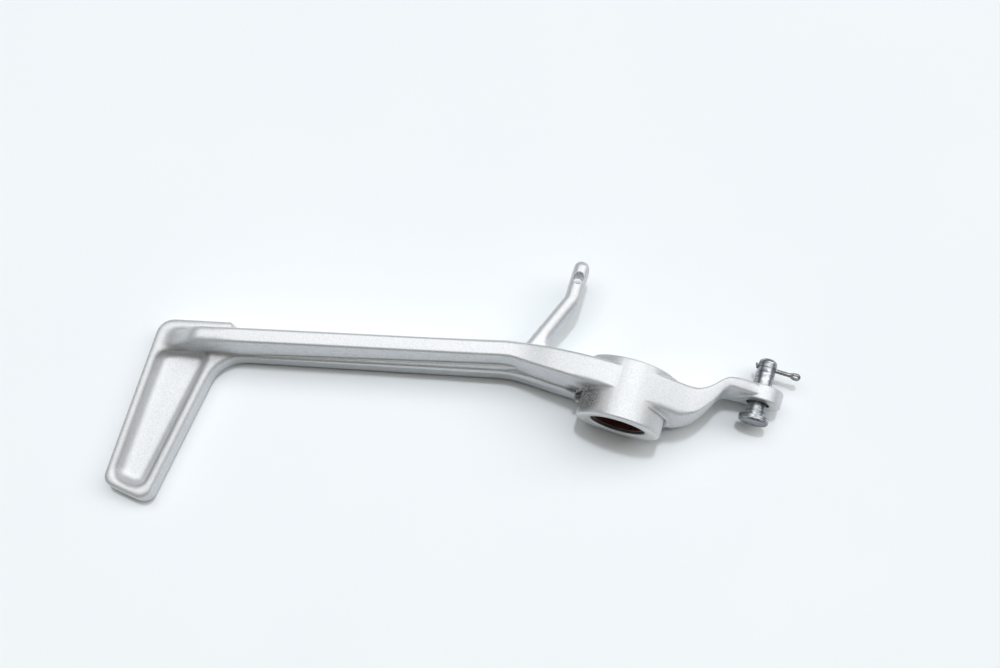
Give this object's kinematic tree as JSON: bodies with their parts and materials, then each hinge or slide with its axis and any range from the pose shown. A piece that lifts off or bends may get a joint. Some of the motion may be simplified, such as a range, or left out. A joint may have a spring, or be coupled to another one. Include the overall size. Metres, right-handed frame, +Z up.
{
  "type": "motorcycle foot lever",
  "caption": "Forged light-alloy foot lever with a dished foot pad, lined pivot bush, spring finger and a push-rod lug with clevis pin and split pin.",
  "frame": {"origin": "on the bench, in the middle of the part's outline", "axes": "+X runs from the foot pad to the push-rod lug, +Y from the outboard side to the machine's side, along the pivot's axis, +Z up; the part lies underside up as in the picture"},
  "size_m": [0.2094, 0.1178, 0.028],
  "materials": {
    "forged_alloy": "blasted and clear-lacquered forging",
    "bush_steel": "rolled strip, turned ends",
    "bush_lining": "bonded sliding layer, dark red-brown",
    "pin_steel": "turned, zinc plating worn dark",
    "split_pin_steel": "drawn wire, plated"
  },
  "bodies": {
    "lever": {"lever_forging": "forged_alloy", "bush_shell": "bush_steel", "bush_liner": "bush_lining"},
    "clevis_pin_body": {"clevis_pin": "pin_steel"},
    "split_pin_body": {"split_pin": "split_pin_steel"}
  },
  "joints": [
    {"name": "clevis_pin_slide", "type": "slide", "parent": "lever", "child": "clevis_pin_body", "axis": [0, 1, 0], "range_m": [-0.0057, 0.0045]},
    {"name": "split_pin_slide", "type": "slide", "parent": "clevis_pin_body", "child": "split_pin_body", "axis": [1, 0, 0], "range_m": [-0.004, 0.0002]}
  ]
}
